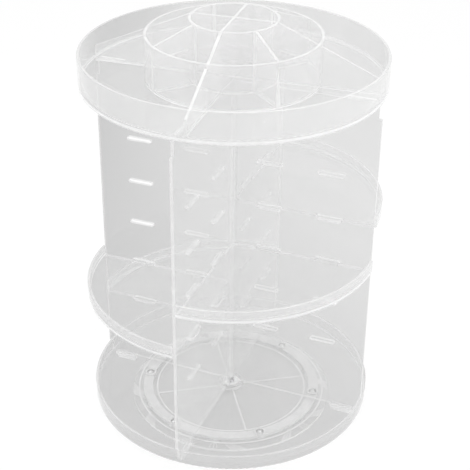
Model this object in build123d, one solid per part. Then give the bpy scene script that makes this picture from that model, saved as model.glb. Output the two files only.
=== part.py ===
from build123d import *
import os

# A clear cosmetics stand that turns on a ring of balls. Z is the turning axis and z = 0 is the table.
# The main panel lies along X, the two half panels along Y. Front is -Y, back is +Y. Sizes are in mm.

# ---------------------------------------------------------------- turning stand
body_radius = 115.0         # turntable, panels and top tray
sheet = 2.4                 # thickness of the flat panels
tray_wall = 2.4             # floor and wall of the turntable and of the top tray
fit_gap = 0.2               # clearance where one sheet slots into another
moving_gap = 0.4            # clearance between pieces that turn past each other
turntable_height = 12.4     # from the underside of the floor to the rim
top_tray_height = 24.2
edge_round = 0.7            # rounding of the moulded rims
base_round = 1.4            # rounding of the lower outside edge of trays and shelves
inner_round = 0.9           # hollow rounding where a moulded floor meets its wall

# ---------------------------------------------------------------- panels
panel_height = 275.0
top_notch = 12.4            # height of the step at the upper corners
corner_round = 1.2          # rounding of the outer corners
foot_tab_length = 20.0      # tabs that pass through the floors of the two trays
foot_tab_inset = 15.5       # from the outer edge to their middle
foot_tab_depth = 6.0
foot_tab_round = 3.0
flush_drop = 0.2            # the upper tabs stop this far under the top tray's floor
channel_wall = 0.9          # ribs on the main panel that hold the half panels
channel_depth = 2.5

# ---------------------------------------------------------------- shelf slots and shelves
level_count = 5
first_level = 61.0          # lowest row of slots above the turntable's floor
level_pitch = 37.7
tab_centres = (30.5, 79.5)  # distances of the shelf tabs from the axis
tab_length = 20.4
tab_proud = 2.0             # how far a tab shows behind its panel
tab_round = 4.0             # rounding of a tab's corners, seen from above
slot_gap = 0.3
shelf_floor = 2.4
shelf_rim_wall = 2.4
shelf_rim_height = 8.2      # above the shelf's floor

# ---------------------------------------------------------------- divider insert
insert_wall = 2.0
insert_turn = 4.5           # degrees, as it lies in the tray
insert_gap = 0.05
inner_ring_radius = 33.5
inner_ring_height = 46.0
outer_ring_radius = 66.0
outer_ring_height = 34.5
wing_gap = 2.6              # between the crossing plates' ends and the tray's wall
wing_end_height = 12.0

# ---------------------------------------------------------------- base and ball bearing
plate_gap = 5.5             # between the plate's edge and the panels' lower tabs
plate_thickness = 2.0
plate_margin = 4.5          # flat edge outside the outer fence
rib_count = 4
rib_angle = 33.0            # degrees from X to the first rib
rib_width = 1.6
rib_height = 1.5
guide_wall = 1.5            # round fences on both sides of the ball ring
guide_height = 2.2
foot_count = 6
foot_radius = 4.5
foot_proud = 1.0
foot_recess = 0.8
foot_gap = 0.1
ball_count = 6
ball_angle = 11.0           # degrees from X to the first ball
ball_radius = 2.95
race_gap = 0.05
pocket_gap = 0.15
retainer_width = 8.0
retainer_thickness = 2.4
retainer_float = 3.0        # sideways play of the retainer between its guides
boss_wall = 1.9
boss_height = 4.0

# ---------------------------------------------------------------- centre pivot
spindle_radius = 4.0
spindle_gap = 0.05
hub_web = 2.0
hub_wall = 2.4
washer_radius = 7.0
washer_thickness = 0.8
washer_lift = 0.2           # running gap between washer and hub
washer_bore_gap = 0.2
well_gap = 1.5              # finger room round the washer
screw_radius = 1.5
screw_length = 5.5
screw_head_radius = 2.9
screw_head_height = 1.7
thread_gap = 0.05
driver_slot = 0.8
driver_depth = 1.0
driver_reach = 2.0

# ---------------------------------------------------------------- levels, from the table up
plate_bottom = foot_proud
plate_top = plate_bottom + plate_thickness
ball_level = plate_top + race_gap + ball_radius
table_bottom = ball_level + ball_radius + race_gap
table_floor = table_bottom + tray_wall
table_rim = table_bottom + turntable_height
panel_bottom = table_floor
panel_top = panel_bottom + panel_height
top_bottom = panel_top
top_floor = top_bottom + tray_wall
insert_bottom = top_floor + insert_gap
screw_top = table_floor - moving_gap
washer_top = screw_top - screw_head_height
spindle_top = washer_top - washer_thickness
web_top = spindle_top - washer_lift
web_bottom = web_top - hub_web
well_radius = washer_radius + well_gap
hub_radius = well_radius + hub_wall

# ---------------------------------------------------------------- fits that follow from the sizes above
tray_inside = body_radius - tray_wall
panel_inset = tray_inside - fit_gap
foot_tab_centre = body_radius - foot_tab_inset
low_notch = table_rim - table_floor + fit_gap
half_panel_start = sheet / 2 + fit_gap
channel_half = sheet / 2 + fit_gap
shelf_corner = sheet / 2 + slot_gap
shelf_radius = body_radius  # measured from the shelf's own corner, so the arc stands a little proud
slot_length = tab_length + 2 * slot_gap
slot_height = shelf_floor + 2 * slot_gap
wing_reach = tray_inside - wing_gap
plate_radius = foot_tab_centre - foot_tab_length / 2 - plate_gap
fence_inside = plate_radius - plate_margin - guide_wall
ball_circle = fence_inside - retainer_float - retainer_width / 2
foot_angle = ball_angle + 180.0 / foot_count
guide_inner = ball_circle - retainer_width / 2 - retainer_float
guide_outer = fence_inside + guide_wall
pocket_radius = ball_radius + pocket_gap

QUARTER_TURNS = (0, 90, 180, 270)
ON_BASE = (Align.CENTER, Align.CENTER, Align.MIN)
DIAGONAL = Plane((0, 0, 0), z_dir=(1, -1, 0))   # swaps X and Y


def level_height(level):
    """Middle of a row of slots above the table."""
    return table_floor + first_level + level * level_pitch


def disc(radius, low, high):
    """Upright cylinder on the axis between two levels."""
    return Pos(0, 0, low) * Cylinder(radius, high - low, align=ON_BASE)


def tube(radius, wall, low, high):
    """Upright ring on the axis; radius is its outside."""
    return disc(radius, low, high) - disc(radius - wall, low, high)


def span(start, end, low, high):
    """Rectangle of a side view, between two distances and two levels."""
    return Pos((start + end) / 2, (low + high) / 2) * Rectangle(end - start, high - low)


def side_view(face, thickness):
    """Sheet of the given thickness, half on each side of the XZ plane."""
    return extrude(Plane.XZ * face, amount=thickness / 2, both=True)


def near(vertex, point):
    """Whether a corner of an outline is the named point."""
    return abs(vertex.X - point[0]) < 0.01 and abs(vertex.Y - point[1]) < 0.01


def rounded(face, points, radius):
    """Outline with the named corners rounded."""
    return fillet([v for v in face.vertices() if any(near(v, p) for p in points)], radius)


def round_tray(low, height):
    """Open round tray in one moulding: a floor and a wall with rounded rim and lower edge."""
    floor, rim = low + tray_wall, low + height
    rim_corners = [(body_radius, rim), (tray_inside, rim)]
    foot_corners = [(body_radius, low)]
    face = span(0, body_radius, low, rim) - span(0, tray_inside, floor, rim)
    face = rounded(face, rim_corners, edge_round)
    face = rounded(face, foot_corners, base_round)
    face = rounded(face, [(tray_inside, floor)], inner_round)
    tray = revolve(Plane.XZ * face, Axis.Z)
    for turn in QUARTER_TURNS:
        slot = Box(foot_tab_length + 2 * fit_gap, sheet + 2 * fit_gap, 3 * tray_wall)
        tray -= Rot(0, 0, turn) * Pos(foot_tab_centre, 0, low + tray_wall / 2) * slot
    return tray


def turntable_tray():
    """Round turntable with a sunk hub that turns on the spindle of the base."""
    tray = round_tray(table_bottom, turntable_height)
    tray += disc(hub_radius, web_bottom, table_bottom + tray_wall / 2)
    tray -= disc(well_radius, web_top, table_floor + tray_wall)
    tray -= disc(spindle_radius + spindle_gap, web_bottom - hub_web, table_floor)
    return tray


def top_tray():
    """Round tray that lies on the panels, with their upper tabs in its floor."""
    return round_tray(top_bottom, top_tray_height)


def panel_face(start):
    """Side view of one half of a panel, from a distance to the outer edge."""
    face = span(start, body_radius, panel_bottom, panel_top)
    lower_step, upper_step = panel_bottom + low_notch, panel_top - top_notch
    face -= span(panel_inset, body_radius, panel_bottom, lower_step)
    face -= span(panel_inset, body_radius, upper_step, panel_top)
    corners = [(panel_inset, panel_bottom), (body_radius, lower_step)]
    corners += [(body_radius, upper_step), (panel_inset, panel_top)]
    face = rounded(face, corners, corner_round)
    tab_start = foot_tab_centre - foot_tab_length / 2
    tab_end = foot_tab_centre + foot_tab_length / 2
    tab_low = panel_bottom - foot_tab_depth
    foot_tab = span(tab_start, tab_end, tab_low, panel_bottom)
    face += rounded(foot_tab, [(tab_start, tab_low), (tab_end, tab_low)], foot_tab_round)
    face += span(tab_start, tab_end, panel_top, top_floor - flush_drop)
    for level in range(level_count):
        for centre in tab_centres:
            face -= Pos(centre, level_height(level)) * SlotOverall(slot_length, slot_height)
    return face


def main_panel():
    """Full-width panel with two pairs of upright ribs that hold the half panels."""
    half = panel_face(0)
    panel = side_view(half + mirror(half, about=Plane.YZ), sheet)
    rib = Box(channel_wall, channel_depth, panel_height)
    for side in (-1, 1):
        for face in (-1, 1):
            across = side * (channel_half + channel_wall / 2)
            out = face * (sheet / 2 + channel_depth / 2)
            panel += Pos(across, out, (panel_bottom + panel_top) / 2) * rib
    return panel


def half_panel(turn):
    """Panel from the main panel's channel to the outer edge."""
    return Rot(0, 0, turn) * side_view(panel_face(half_panel_start), sheet)


def shelf_tab(centre):
    """Tongue with round corners that passes through the panel along X."""
    root = shelf_corner + sheet / 2
    reach = root + sheet / 2 + tab_proud
    plane = Plane((centre, root, shelf_floor / 2), x_dir=(1, 0, 0), z_dir=(0, -1, 0))
    tongue = extrude(plane * SlotOverall(tab_length, shelf_floor), amount=reach)
    outline = Pos(centre, root) * RectangleRounded(tab_length, 2 * reach, tab_round)
    return tongue & extrude(outline, amount=shelf_floor)


def shelf(level, turn):
    """Quarter-round shelf with a rim on its arc, its tabs resting in the slots of one level."""
    rim_top = shelf_floor + shelf_rim_height
    inside = shelf_radius - shelf_rim_wall
    face = span(0, shelf_radius, 0, rim_top) - span(0, inside, shelf_floor, rim_top)
    face = rounded(face, [(shelf_radius, rim_top), (inside, rim_top)], edge_round)
    face = rounded(face, [(inside, shelf_floor)], inner_round)
    face = rounded(face, [(shelf_radius, 0)], base_round)
    body = Pos(shelf_corner, shelf_corner, 0) * revolve(Plane.XZ * face, Axis.Z, 90)
    across = channel_half + channel_wall + moving_gap
    out = sheet / 2 + channel_depth + moving_gap
    cut = across + out
    corner = Polyline((0, 0), (cut, 0), (0, cut), close=True)
    body -= extrude(make_face(corner), amount=shelf_floor)
    for centre in tab_centres:
        tab = shelf_tab(centre)
        body += tab
        body += mirror(tab, about=DIAGONAL)
    low = level_height(level) - slot_height / 2
    return Rot(0, 0, turn) * Pos(0, 0, low) * body


def divider_insert():
    """One moulding: two crossing plates, two rings and four short walls between the rings."""
    low = insert_bottom
    peak = low + inner_ring_height
    outer_top = low + outer_ring_height
    end_top = low + wing_end_height
    body = tube(inner_ring_radius, insert_wall, low, peak)
    body += tube(outer_ring_radius, insert_wall, low, outer_top)
    ridge = inner_ring_radius - insert_wall / 2
    rail = outer_ring_radius - insert_wall / 2
    right = [(wing_reach, low), (wing_reach, end_top), (ridge, peak)]
    left = [(-x, z) for x, z in reversed(right)]
    wing = side_view(make_face(Polyline(*right, *left, close=True)), insert_wall)
    wall_corners = [(ridge, low), (rail, low), (rail, outer_top), (ridge, peak)]
    wall = side_view(make_face(Polyline(*wall_corners, close=True)), insert_wall)
    for turn in (0, 90):
        body += Rot(0, 0, turn) * wing
    for turn in QUARTER_TURNS:
        body += Rot(0, 0, turn + 45) * wall
    return Rot(0, 0, insert_turn) * body


def around(count, radius, first_angle, level):
    """Places evenly spaced on a circle."""
    turns = [first_angle + 360 * i / count for i in range(count)]
    return [Rot(0, 0, turn) * Pos(radius, 0, level) for turn in turns]


def base_plate():
    """Still plate under the turntable: spindle, ribs, and two fences for the ball ring."""
    plate = disc(plate_radius, plate_bottom, plate_top)
    plate += tube(guide_inner, guide_wall, plate_top, plate_top + guide_height)
    plate += tube(guide_outer, guide_wall, plate_top, plate_top + guide_height)
    plate += disc(spindle_radius, plate_top, spindle_top)
    rib_length = guide_inner - guide_wall / 2
    rib = Pos(rib_length / 2, 0, 0) * Box(rib_length, rib_width, rib_height, align=ON_BASE)
    for place in around(rib_count, 0, rib_angle, plate_top):
        plate += place * rib
    plate -= disc(screw_radius + thread_gap, washer_top - screw_length - thread_gap, spindle_top)
    for place in around(foot_count, ball_circle, foot_angle, plate_bottom):
        plate -= place * Cylinder(foot_radius + foot_gap, foot_recess, align=ON_BASE)
    return plate


def foot_pads():
    """Round pads set into the underside of the base plate."""
    pad = Cylinder(foot_radius, foot_proud + foot_recess, align=ON_BASE)
    return [place * pad for place in around(foot_count, ball_circle, foot_angle, 0)]


def ball_retainer():
    """Flat ring that keeps the balls apart, with a thicker boss round each pocket."""
    outside = ball_circle + retainer_width / 2
    low = ball_level - retainer_thickness / 2
    ring = tube(outside, retainer_width, low, low + retainer_thickness)
    places = around(ball_count, ball_circle, ball_angle, ball_level)
    for place in places:
        ring += place * Cylinder(pocket_radius + boss_wall, boss_height)
    for place in places:
        ring -= place * Cylinder(pocket_radius, 2 * boss_height)
    return ring


def bearing_balls():
    """Balls between the base plate and the turntable."""
    places = around(ball_count, ball_circle, ball_angle, ball_level)
    return [place * Sphere(ball_radius) for place in places]


def pivot_washer():
    """Washer on the spindle that keeps the turntable from lifting off."""
    return tube(washer_radius, washer_radius - screw_radius - washer_bore_gap, spindle_top, washer_top)


def pivot_screw():
    """Screw into the spindle, with a crossed drive in its head."""
    screw = disc(screw_head_radius, washer_top, screw_top)
    screw += disc(screw_radius, washer_top - screw_length, washer_top)
    drive = Box(2 * driver_reach, driver_slot, 2 * driver_depth)
    for turn in (0, 90):
        screw -= Rot(0, 0, turn) * Pos(0, 0, screw_top) * drive
    return screw


pieces = {
    "base_plate": base_plate(),
    "ball_retainer": ball_retainer(),
    "pivot_washer": pivot_washer(),
    "pivot_screw": pivot_screw(),
    "turntable_tray": turntable_tray(),
    "main_panel": main_panel(),
    "front_half_panel": half_panel(-90),
    "back_half_panel": half_panel(90),
    "shelf_back_left": shelf(0, 90),
    "shelf_front_left": shelf(1, 180),
    "shelf_front_right": shelf(2, 270),
    "shelf_back_right": shelf(3, 0),
    "top_tray": top_tray(),
    "divider_insert": divider_insert(),
}
for number, pad in enumerate(foot_pads(), 1):
    pieces[f"foot_pad_{number}"] = pad
for number, ball in enumerate(bearing_balls(), 1):
    pieces[f"bearing_ball_{number}"] = ball

os.makedirs("parts", exist_ok=True)
for name, shape in pieces.items():
    export_step(shape, f"parts/{name}.step")
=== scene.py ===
import math

import bpy
from mathutils import Matrix, Vector
from mathutils.bvhtree import BVHTree


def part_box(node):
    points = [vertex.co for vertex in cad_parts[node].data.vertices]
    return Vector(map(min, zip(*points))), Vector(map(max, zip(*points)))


# The looks of a clear turning cosmetics stand. Metres; Z is the turning axis and z = 0 is the table.

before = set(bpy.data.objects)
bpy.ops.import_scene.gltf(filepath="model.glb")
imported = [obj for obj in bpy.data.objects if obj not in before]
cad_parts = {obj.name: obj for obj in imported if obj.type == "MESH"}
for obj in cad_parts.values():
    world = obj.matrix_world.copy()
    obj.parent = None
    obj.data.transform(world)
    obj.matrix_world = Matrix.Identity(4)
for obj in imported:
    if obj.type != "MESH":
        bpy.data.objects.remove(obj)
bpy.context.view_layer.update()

# ---------------------------------------------------------------- camera, at the photograph's viewing angle
VIEW_SENSOR = 36             # mm
VIEW_LENS = 88.38            # mm
VIEW_PLACE = (0.2897, -0.7467, 0.6142)
VIEW_AZIMUTH = 21.201        # degrees that the camera stands to the right of the front
VIEW_DOWN = 29.913           # degrees that it looks down
VIEW_ASIDE = 0.155           # degrees that it looks past the axis
VIEW_ROLL = 0.621            # degrees
VIEW_CLIP = 0.01

# ---------------------------------------------------------------- which faces of a clear piece are edges
THICK_EDGE = 0.0031          # a face with more plastic than this behind it shows as an edge
PROBE_REACH = 0.05           # how far behind a face the plastic is measured
PROBE_START = 1e-5
INNER_REACH = 0.105          # edges nearer the axis than this get a brighter copy of the edge material, painted highlight for the light they take from the sheets round them
JOINT_REACH = 0.0075         # where the sheets meet on the axis, the main panel's ribs stay clear
FOOT_TAB_DEPTH = 0.006       # the panels' lower tabs reach this far down, through the turntable's floor
HAIR = 0.0001

# ---------------------------------------------------------------- plastic: shares of haze, levels of grey
BASE_HAZE = (0.03, 0.05)
PANEL_HAZE = (0.08, 0.11)
WIDE_PANEL_HAZE = (0.05, 0.08)
WIDE_PANEL_PAINTED_LEAN = 0.5        # the main panel's haze grows along X, per metre: painted light that makes its right side lighter
INSERT_HAZE = (0.13, 0.18)
TRAY_HAZE = {"turntable": 0.05, "shelf": 0.085, "top": 0.12}
TRAY_HAZE_SPREAD = 1.5
SHELF_WALL_HAZE = 0.1
LEAST_HAZE = 0.01
TRAY_HIGHLIGHT_STRIP = 0.003           # height of the painted highlight strip on the walls where a floor meets them
INSERT_HIGHLIGHT_STRIP = 0.0008
HIGHLIGHT_STRIP_FADE = 0.001
HIGHLIGHT_STRIP_BODY = (0.75, 0.95)    # the painted highlight strip's least and most body
SLANT_HAZE = 1.6             # share of the haze that is added on a face seen edge on
UPRIGHT = 0.8                # a face whose normal rises less than this is a wall

BASE_GREY = 0.86
PLASTIC_GREY = 0.9
INSERT_GREY = 0.93
OUTER_EDGE = (0.3, 0.48, 0.95)       # an edge's least and most body, and its grey; the pale body is partly the long path through the plastic, partly painted highlight
# slot edges, edges near the axis and the base's edges: denser, paler copies with more painted highlight
SLOT_EDGE = (0.85, 0.96, 0.97)
INNER_EDGE = (0.35, 0.55, 0.97)
BASE_EDGE = (0.8, 0.92, 0.97)

# ---------------------------------------------------------------- steel
# colour, least and most roughness, scale of the marks
BALL_STEEL = ((0.7, 0.7, 0.7), 0.3, 0.4, 300)
SCREW_STEEL = ((0.62, 0.62, 0.63), 0.25, 0.4, 500)
WASHER_STEEL = ((0.96, 0.96, 0.96), 0.45, 0.6, 400)

DULLER = 0.85                # brightness of the duller marks

# ---------------------------------------------------------------- a noise field lies mostly between these
NOISE_LOW = 0.3
NOISE_HIGH = 0.7

# ---------------------------------------------------------------- shading of curved walls
SHARP_ANGLE = 28             # degrees
WELD_REACH = 1e-6

# ---------------------------------------------------------------- painted shade on the floor, seen only through the plastic
PAINTED_SHADE_GREY = 0.615        # painted shade at the object, seen through the plastic
PAINTED_SHADE_ACROSS = 0.22       # painted light: it grows lighter to the right, per metre
PAINTED_SHADE_BEYOND = 0.27       # and away from the camera
PAINTED_SHADE_TWIST = 1.6         # further back it differs more from left to right
PAINTED_SHADE_DARKEST = 0.48
PAINTED_SHADE_LIGHTEST = 0.76
FLOOR_RADIUS = 8
FLOOR_CORNERS = 128
FLOOR_GREY = 0.95
PLAIN_SHARE = 0.85           # share of the floor that shows its unlit colour, white or the painted shade behind the plastic; the rest is lit and shaded
PLAIN_SHARE_BEHIND = 0.1     # added to it behind the plastic, where the painted shade takes the place of more of the real shadow

# ---------------------------------------------------------------- light
SOFTBOXES = (                # name, place, aim, width, height, watts
    ("top_softbox", (0.1, -0.1, 1.5), (0, 0, 0.1), 1.4, 1.4, 8),
    ("left_softbox", (-1.4, -0.9, 0.9), (0, 0, 0.15), 0.9, 1.2, 7),
    ("right_softbox", (1.5, -0.5, 0.8), (0, 0, 0.15), 0.9, 1.2, 7),
)
WORLD_LIGHT = 0.8            # strength of the light that the world gives
WORLD_SEEN = 1.0             # strength at which it is seen

# ---------------------------------------------------------------- light paths through many clear sheets
CLEAR_BOUNCES = 64
ALL_BOUNCES = 6
DIFFUSE_BOUNCES = 3

# sockets of the colour Mix node
FIRST_COLOUR = 6
SECOND_COLOUR = 7
MIXED_COLOUR = 2


def grey(level):
    return (level, level, level)


def add_camera():
    """Camera of the photograph: its heading, its tilt down and its small roll."""
    heading, down, roll = (math.radians(v) for v in (VIEW_ASIDE, VIEW_DOWN, VIEW_ROLL))
    level = math.cos(down)
    ahead = Vector((math.sin(heading) * level, math.cos(heading) * level, -math.sin(down)))
    right = Vector((math.cos(heading), -math.sin(heading), 0))
    up = right.cross(ahead)
    across = right * math.cos(roll) + up * math.sin(roll)
    above = up * math.cos(roll) - right * math.sin(roll)
    turn = Matrix((across, above, -ahead)).transposed()
    data = bpy.data.cameras.new("camera")
    data.lens = VIEW_LENS
    data.sensor_width = VIEW_SENSOR
    data.clip_start = VIEW_CLIP
    camera = bpy.data.objects.new("camera", data)
    bpy.context.scene.collection.objects.link(camera)
    spin = Matrix.Rotation(math.radians(VIEW_AZIMUTH), 3, "Z")
    camera.matrix_world = Matrix.Translation(VIEW_PLACE) @ (spin @ turn).to_4x4()
    bpy.context.scene.camera = camera


# ---------------------------------------------------------------- node trees
class Tree:
    """Short calls for building the nodes of a material or a world."""

    def __init__(self, owner):
        self.owner = owner
        self.owner.use_nodes = True
        self.nodes = owner.node_tree.nodes
        self.links = owner.node_tree.links
        self.nodes.clear()

    def add(self, kind, sets=None, **properties):
        node = self.nodes.new(kind)
        for key, value in properties.items():
            setattr(node, key, value)
        for key, value in (sets or {}).items():
            self.put(node.inputs[key], value)
        return node

    def put(self, socket, value):
        """Links a node's output into the socket, or sets its number or colour."""
        if isinstance(value, bpy.types.NodeSocket):
            self.links.new(value, socket)
        elif hasattr(value, "__len__") and len(value) == 3 and len(socket.default_value) == 4:
            socket.default_value = (*value, 1)
        else:
            socket.default_value = value

    def maths(self, operation, a, b=0.0, clamp=False):
        node = self.add("ShaderNodeMath", operation=operation, use_clamp=clamp)
        self.put(node.inputs[0], a)
        self.put(node.inputs[1], b)
        return node.outputs[0]

    def plus(self, a, b, clamp=False):
        return self.maths("ADD", a, b, clamp)

    def times(self, a, b, clamp=False):
        return self.maths("MULTIPLY", a, b, clamp)

    def most(self, a, b):
        return self.maths("MAXIMUM", a, b)

    def mix(self, factor, first, second):
        """Mixes two shaders."""
        node = self.add("ShaderNodeMixShader")
        self.put(node.inputs[0], factor)
        self.put(node.inputs[1], first)
        self.put(node.inputs[2], second)
        return node.outputs[0]

    def mix_colours(self, factor, first, second):
        sets = {"Factor": factor, FIRST_COLOUR: first, SECOND_COLOUR: second}
        return self.add("ShaderNodeMix", sets, data_type="RGBA").outputs[MIXED_COLOUR]

    def place(self):
        return self.add("ShaderNodeTexCoord").outputs["Object"]

    def part(self, vector, axis):
        return self.add("ShaderNodeSeparateXYZ", {"Vector": vector}).outputs[axis]

    def map_range(self, value, from_low, from_high, to_low, to_high):
        sets = {"Value": value, "From Min": from_low, "From Max": from_high,
                "To Min": to_low, "To Max": to_high}
        return self.add("ShaderNodeMapRange", sets, clamp=True).outputs[0]

    def noise(self, scale, detail=3.0, low=0.0, high=1.0):
        """Noise over the object's own coordinates, spread between two values."""
        field = self.add("ShaderNodeTexNoise", {"Vector": self.place(), "Scale": scale, "Detail": detail})
        return self.map_range(field.outputs[0], NOISE_LOW, NOISE_HIGH, low, high)

    def bump(self, height, distance):
        return self.add("ShaderNodeBump", {"Height": height, "Distance": distance}).outputs[0]

    def facing(self, power):
        """0 on a surface seen head on, 1 where it is seen edge on."""
        weight = self.add("ShaderNodeLayerWeight", {"Blend": 0.5}).outputs["Facing"]
        return self.maths("POWER", weight, power)

    def skin(self, power, least):
        """Share of light that a smooth surface reflects, from head on to grazing."""
        return self.plus(self.times(self.facing(power), 1 - least), least, clamp=True)

    def haze(self, level, through):
        """Light scattered back and, for the share given, through the plastic."""
        back = self.add("ShaderNodeBsdfDiffuse", {"Color": grey(level)}).outputs[0]
        onward = self.add("ShaderNodeBsdfTranslucent", {"Color": grey(level)}).outputs[0]
        return self.mix(through, back, onward)

    def clear(self, level):
        return self.add("ShaderNodeBsdfTransparent", {"Color": grey(level)}).outputs[0]

    def gloss(self, rough, **more):
        return self.add("ShaderNodeBsdfGlossy", {"Color": grey(1), "Roughness": rough, **more}).outputs[0]

    def principled(self, colour, rough, **more):
        sets = {"Base Color": colour, "Roughness": rough, **more}
        return self.add("ShaderNodeBsdfPrincipled", sets).outputs[0]

    def seen(self):
        """1 for what the camera sees, straight on, in gloss or through the plastic."""
        path = self.add("ShaderNodeLightPath").outputs
        return self.most(self.most(path["Is Camera Ray"], path["Is Glossy Ray"]), path["Is Transmission Ray"])

    def finish(self, shader, output="ShaderNodeOutputMaterial"):
        self.links.new(shader, self.add(output).inputs["Surface"])
        return self.owner


def new_tree(name):
    return Tree(bpy.data.materials.new(name))


# ---------------------------------------------------------------- materials
def clear_face(name, haze, level, painted_lean=0.0, underside=None, strip=TRAY_HIGHLIGHT_STRIP, wall_haze=0.0):
    """Clear moulded plastic seen through its broad faces: a thin uneven haze and a hard gloss.
    haze is its least and most share and level its grey; painted_lean makes the haze grow along X, per metre,
    painted light that leaves that side lighter.
    underside is the level above which the walls show a painted highlight strip for the floor's bright edge;
    wall_haze is more haze on walls."""
    t = new_tree(name)
    fine = t.noise(16, detail=4.0, low=haze[0], high=haze[1])
    broad = t.noise(5, detail=2.0, low=-0.02, high=0.02)
    veil = t.plus(fine, broad)
    # painted light: the haze grows along X, so that side of the panel shows lighter
    if painted_lean:
        veil = t.most(t.plus(veil, t.times(t.part(t.place(), "X"), painted_lean)), LEAST_HAZE)
    slant = t.plus(t.times(t.facing(power=3.0), SLANT_HAZE), 1.0)
    veil = t.times(veil, slant, clamp=True)
    # painted highlight: a pale strip on the walls at the floor's height, for the floor's edge that shows
    # bright through them
    if underside is not None:
        normal = t.add("ShaderNodeNewGeometry").outputs["True Normal"]
        wall = t.maths("LESS_THAN", t.maths("ABSOLUTE", t.part(normal, "Z")), UPRIGHT)
        top = underside + strip
        near = t.map_range(t.part(t.place(), "Z"), top, top + HIGHLIGHT_STRIP_FADE, 1.0, 0.0)
        painted_highlight = t.times(t.times(near, wall), t.noise(25, detail=2.0, low=HIGHLIGHT_STRIP_BODY[0], high=HIGHLIGHT_STRIP_BODY[1]))
        veil = t.most(t.plus(veil, t.times(wall, wall_haze)), painted_highlight)
    body = t.mix(veil, t.clear(0.993), t.haze(level, through=0.5))
    ripple = t.bump(t.noise(45, detail=2.0), distance=0.00012)
    gloss = t.gloss(t.noise(60, detail=5.0, low=0.05, high=0.13), Normal=ripple)
    return t.finish(t.mix(t.skin(power=5.0, least=0.035), body, gloss))


def painted_edge_highlight(name, low, high, level):
    """The cut and moulded edges of the same plastic: a denser pale body, partly the longer path through the
    plastic and partly painted highlight for the light the edges gather.
    """
    t = new_tree(name)
    body = t.mix(t.noise(70, detail=4.0, low=low, high=high), t.clear(0.988), t.haze(level, through=0.35))
    gloss = t.gloss(t.noise(120, detail=4.0, low=0.12, high=0.28))
    return t.finish(t.mix(t.skin(power=4.0, least=0.06), body, gloss))


def milky(name):
    """Milky natural plastic of the ball ring."""
    t = new_tree(name)
    grain = t.bump(t.noise(400), distance=0.00005)
    solid = t.principled(grey(0.89), t.noise(150, low=0.3, high=0.42), Normal=grain)
    return t.finish(t.mix(t.noise(90, detail=4.0, low=0.72, high=0.84), t.clear(0.97), solid))


def metal(name, colour, rough_low, rough_high, scale):
    """Bare steel with fine handling marks."""
    t = new_tree(name)
    marks = t.noise(scale, detail=6.0, low=rough_low, high=rough_high)
    fine = t.bump(t.noise(scale * 2.5, detail=4.0), distance=0.00002)
    dull = tuple(part * DULLER for part in colour)
    tone = t.mix_colours(t.noise(scale * 0.6), dull, colour)
    return t.finish(t.principled(tone, marks, Metallic=1.0, Normal=fine))


def rubber(name):
    """Soft clear rubber of the feet."""
    t = new_tree(name)
    solid = t.principled(grey(0.88), t.noise(200, low=0.45, high=0.6))
    return t.finish(t.mix(t.noise(120, low=0.2, high=0.3), t.clear(0.96), solid))


# ---------------------------------------------------------------- dressing the nodes
def set_materials(node, *materials):
    node.data.materials.clear()
    for material in materials:
        node.data.materials.append(material)


def dress(node, face, edge, inner_edge, edge_below=-1.0):
    """Gives a clear piece its materials: broad faces, faces with much plastic behind them, and such faces
    inside the stand; the last two carry the painted edge highlight. What lies under edge_below, such as a tab
    under a floor, is an edge and shows that painted highlight too."""
    mesh = node.data
    set_materials(node, face, edge, inner_edge)
    solid = BVHTree.FromPolygons([v.co for v in mesh.vertices], [p.vertices for p in mesh.polygons])
    for polygon in mesh.polygons:
        centre = polygon.center
        from_axis = centre.xy.length
        inward = -polygon.normal
        hit = solid.ray_cast(centre + inward * PROBE_START, inward, PROBE_REACH)
        is_edge = hit[0] is None or hit[3] > THICK_EDGE or centre.z < edge_below
        if node.name == "main_panel" and from_axis < JOINT_REACH:
            is_edge = False
        if is_edge:
            polygon.material_index = 2 if from_axis < INNER_REACH else 1
        else:
            polygon.material_index = 0


def smooth(node):
    """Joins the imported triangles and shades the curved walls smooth, with the sharp edges kept."""
    if "custom_normal" in node.data.attributes:
        node.data.attributes.remove(node.data.attributes["custom_normal"])
    for polygon in node.data.polygons:
        polygon.use_smooth = True
    weld = node.modifiers.new("weld", "WELD")
    weld.merge_threshold = WELD_REACH
    split = node.modifiers.new("split", "EDGE_SPLIT")
    split.split_angle = math.radians(SHARP_ANGLE)


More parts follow.
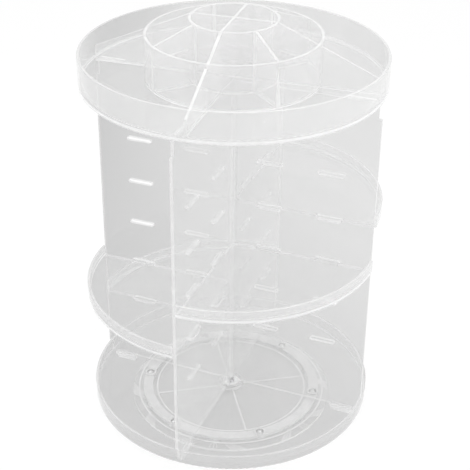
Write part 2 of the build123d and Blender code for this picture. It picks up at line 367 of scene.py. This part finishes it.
def dress_all():
    """Clear pieces get three materials each, and the others one."""
    # edge materials: painted highlight on the edges, stronger on slots, inner edges and the base
    outer = painted_edge_highlight("painted_edge_highlight", *OUTER_EDGE)
    inner = painted_edge_highlight("painted_edge_highlight_rib", *INNER_EDGE)
    slots = painted_edge_highlight("painted_edge_highlight_slot", *SLOT_EDGE)
    base = painted_edge_highlight("painted_edge_highlight_base", *BASE_EDGE)
    panel = clear_face("panel_clear", PANEL_HAZE, PLASTIC_GREY)
    wide_panel = clear_face("wide_panel_clear", WIDE_PANEL_HAZE, PLASTIC_GREY, painted_lean=WIDE_PANEL_PAINTED_LEAN)
    tabs_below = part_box("main_panel")[0].z + FOOT_TAB_DEPTH - HAIR
    steel = metal("ball_steel", *BALL_STEEL)
    pad = rubber("clear_rubber")
    for name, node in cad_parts.items():
        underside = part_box(name)[0].z
        if name == "base_plate":
            dress(node, clear_face("base_clear", BASE_HAZE, BASE_GREY), base, base)
        elif name == "main_panel":
            dress(node, wide_panel, outer, slots, tabs_below)
        elif name.endswith("panel"):
            dress(node, panel, outer, inner, tabs_below)
        elif name == "divider_insert":
            face = clear_face("insert_clear", INSERT_HAZE, INSERT_GREY,
                              underside=underside, strip=INSERT_HIGHLIGHT_STRIP)
            dress(node, face, outer, inner)
        elif name.startswith("shelf") or name.endswith("tray"):
            haze = TRAY_HAZE[name.split("_")[0]]
            wall_haze = SHELF_WALL_HAZE if name.startswith("shelf") else 0.0
            face = clear_face(name + "_clear", (haze, haze * TRAY_HAZE_SPREAD), PLASTIC_GREY,
                              underside=underside, wall_haze=wall_haze)
            dress(node, face, outer, inner)
        elif name == "ball_retainer":
            set_materials(node, milky("milky_plastic"))
        elif name == "pivot_washer":
            set_materials(node, metal("washer_steel", *WASHER_STEEL))
        elif name == "pivot_screw":
            set_materials(node, metal("screw_steel", *SCREW_STEEL))
        elif name.startswith("bearing_ball"):
            set_materials(node, steel)
        else:
            set_materials(node, pad)
        smooth(node)


# ---------------------------------------------------------------- stage and light
def stage_material():
    """Pale floor: white to the camera, with a painted shade behind the plastic that greys it and grows
    lighter to the right, and it keeps the object's shadow.
    """
    t = new_tree("floor")
    # painted shade: rays that reach the floor through the plastic see a grey, lighter to the right and
    # further back, which greys the plastic as shade would
    depth = t.add("ShaderNodeLightPath").outputs["Transparent Depth"]
    behind = t.maths("GREATER_THAN", depth, 0.5)
    turn_back = (0, 0, -math.radians(VIEW_AZIMUTH))
    turned = t.add("ShaderNodeMapping", {"Vector": t.place(), "Rotation": turn_back}).outputs[0]
    across = t.part(turned, "X")
    beyond = t.part(turned, "Y")
    painted_shade_level = t.plus(t.times(across, PAINTED_SHADE_ACROSS), PAINTED_SHADE_GREY)
    painted_shade_level = t.plus(painted_shade_level, t.times(beyond, PAINTED_SHADE_BEYOND))
    painted_shade_level = t.plus(painted_shade_level, t.times(t.times(across, beyond), PAINTED_SHADE_TWIST))
    painted_shade_level = t.maths("MINIMUM", t.most(painted_shade_level, PAINTED_SHADE_DARKEST), PAINTED_SHADE_LIGHTEST)
    shade = t.add("ShaderNodeCombineXYZ", {"X": painted_shade_level, "Y": painted_shade_level, "Z": painted_shade_level}).outputs[0]
    tone = t.mix_colours(behind, grey(1), shade)
    lit = t.add("ShaderNodeBsdfDiffuse", {"Color": grey(FLOOR_GREY)}).outputs[0]
    plain = t.add("ShaderNodeEmission", {"Color": tone, "Strength": 1.0}).outputs[0]
    share = t.plus(t.times(behind, PLAIN_SHARE_BEHIND), PLAIN_SHARE)
    return t.finish(t.mix(t.times(t.seen(), share), lit, plain))


def add_stage():
    bpy.ops.mesh.primitive_circle_add(vertices=FLOOR_CORNERS, radius=FLOOR_RADIUS, fill_type="NGON",
                                      location=(0, 0, 0))
    floor = bpy.context.object
    floor.name = "floor"
    floor.data.materials.append(stage_material())


def add_softbox(name, place, aim, width, height, watts):
    data = bpy.data.lights.new(name, "AREA")
    data.shape = "RECTANGLE"
    data.size = width
    data.size_y = height
    data.energy = watts
    light = bpy.data.objects.new(name, data)
    bpy.context.scene.collection.objects.link(light)
    light.location = place
    light.rotation_euler = (Vector(aim) - Vector(place)).to_track_quat("-Z", "Y").to_euler()


def add_world():
    """Even studio light, and plain white where it is seen."""
    world = bpy.data.worlds.new("studio")
    t = Tree(world)
    strength = t.map_range(t.seen(), 0.0, 1.0, WORLD_LIGHT, WORLD_SEEN)
    background = t.add("ShaderNodeBackground", {"Color": grey(1), "Strength": strength}).outputs[0]
    bpy.context.scene.world = t.finish(background, "ShaderNodeOutputWorld")


add_camera()
dress_all()
add_stage()
for softbox in SOFTBOXES:
    add_softbox(*softbox)
add_world()
scene = bpy.context.scene
scene.view_settings.view_transform = "Standard"
scene.cycles.transparent_max_bounces = CLEAR_BOUNCES
scene.cycles.max_bounces = ALL_BOUNCES
scene.cycles.diffuse_bounces = DIFFUSE_BOUNCES
